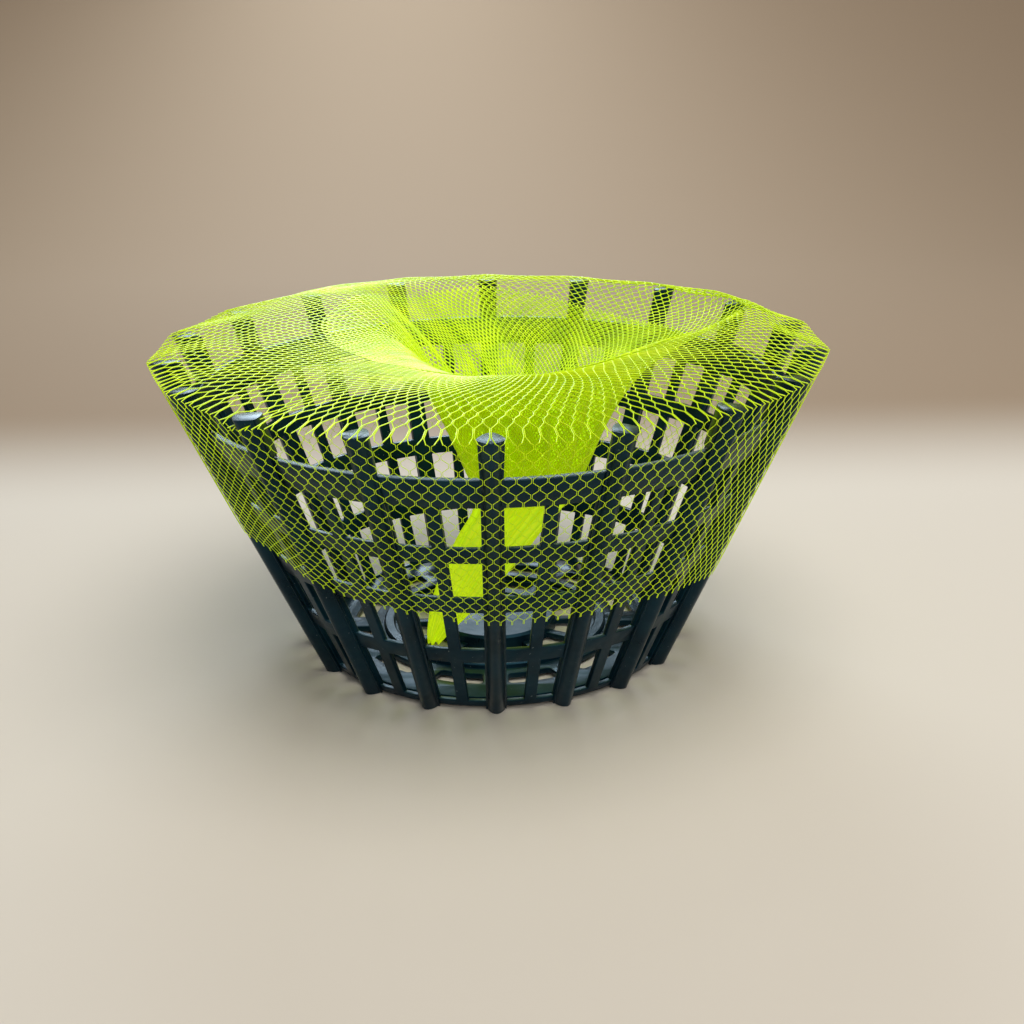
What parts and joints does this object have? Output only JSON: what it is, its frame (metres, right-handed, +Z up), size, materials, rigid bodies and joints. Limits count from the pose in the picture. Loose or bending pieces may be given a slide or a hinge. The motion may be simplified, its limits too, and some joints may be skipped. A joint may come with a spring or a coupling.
{
  "type": "crab and whelk pot",
  "caption": "Rigid open-work basket pot, wider at the rim, with a stretched elastic net cover that forms a soft funnel entrance down to the floor.",
  "frame": {"origin": "on the basket's axis, level with the underside of its feet", "axes": "+Z up through the open top, -Y the side whose stave faces the viewer, +X to the right"},
  "size_m": [0.2666, 0.2666, 0.1289],
  "materials": {
    "basket_plastic": "moulded, slight gloss",
    "net_yarn": "knitted elastic yarn"
  },
  "bodies": {
    "basket": {"floor_plate": "basket_plastic", "floor_rib": "basket_plastic", "floor_hub": "basket_plastic", "foot_hoop": "basket_plastic", "lower_hoop": "basket_plastic", "middle_hoop": "basket_plastic", "upper_hoop": "basket_plastic", "rim_hoop": "basket_plastic", "slat_01": "basket_plastic", "slat_02": "basket_plastic", "slat_03": "basket_plastic", "slat_04": "basket_plastic", "slat_05": "basket_plastic", "slat_06": "basket_plastic", "slat_07": "basket_plastic", "slat_08": "basket_plastic", "slat_09": "basket_plastic", "slat_10": "basket_plastic", "slat_11": "basket_plastic", "slat_12": "basket_plastic", "slat_13": "basket_plastic", "slat_14": "basket_plastic", "slat_15": "basket_plastic", "slat_16": "basket_plastic", "slat_17": "basket_plastic", "slat_18": "basket_plastic", "stave_01": "basket_plastic", "stave_02": "basket_plastic", "stave_03": "basket_plastic", "stave_04": "basket_plastic", "stave_05": "basket_plastic", "stave_06": "basket_plastic", "stave_07": "basket_plastic", "stave_08": "basket_plastic", "stave_09": "basket_plastic", "stave_10": "basket_plastic", "stave_11": "basket_plastic", "stave_12": "basket_plastic", "stave_13": "basket_plastic", "stave_14": "basket_plastic", "stave_15": "basket_plastic", "stave_16": "basket_plastic", "stave_17": "basket_plastic", "stave_18": "basket_plastic"},
    "net_cover": {"net_skirt": "net_yarn", "net_crown": "net_yarn", "net_throat": "net_yarn", "net_tail": "net_yarn"}
  },
  "joints": [
    {"name": "net_lift", "type": "slide", "parent": "basket", "child": "net_cover", "axis": [0, 0, 1], "range_m": [0, 0.135], "deforming": ["net_skirt"]}
  ]
}
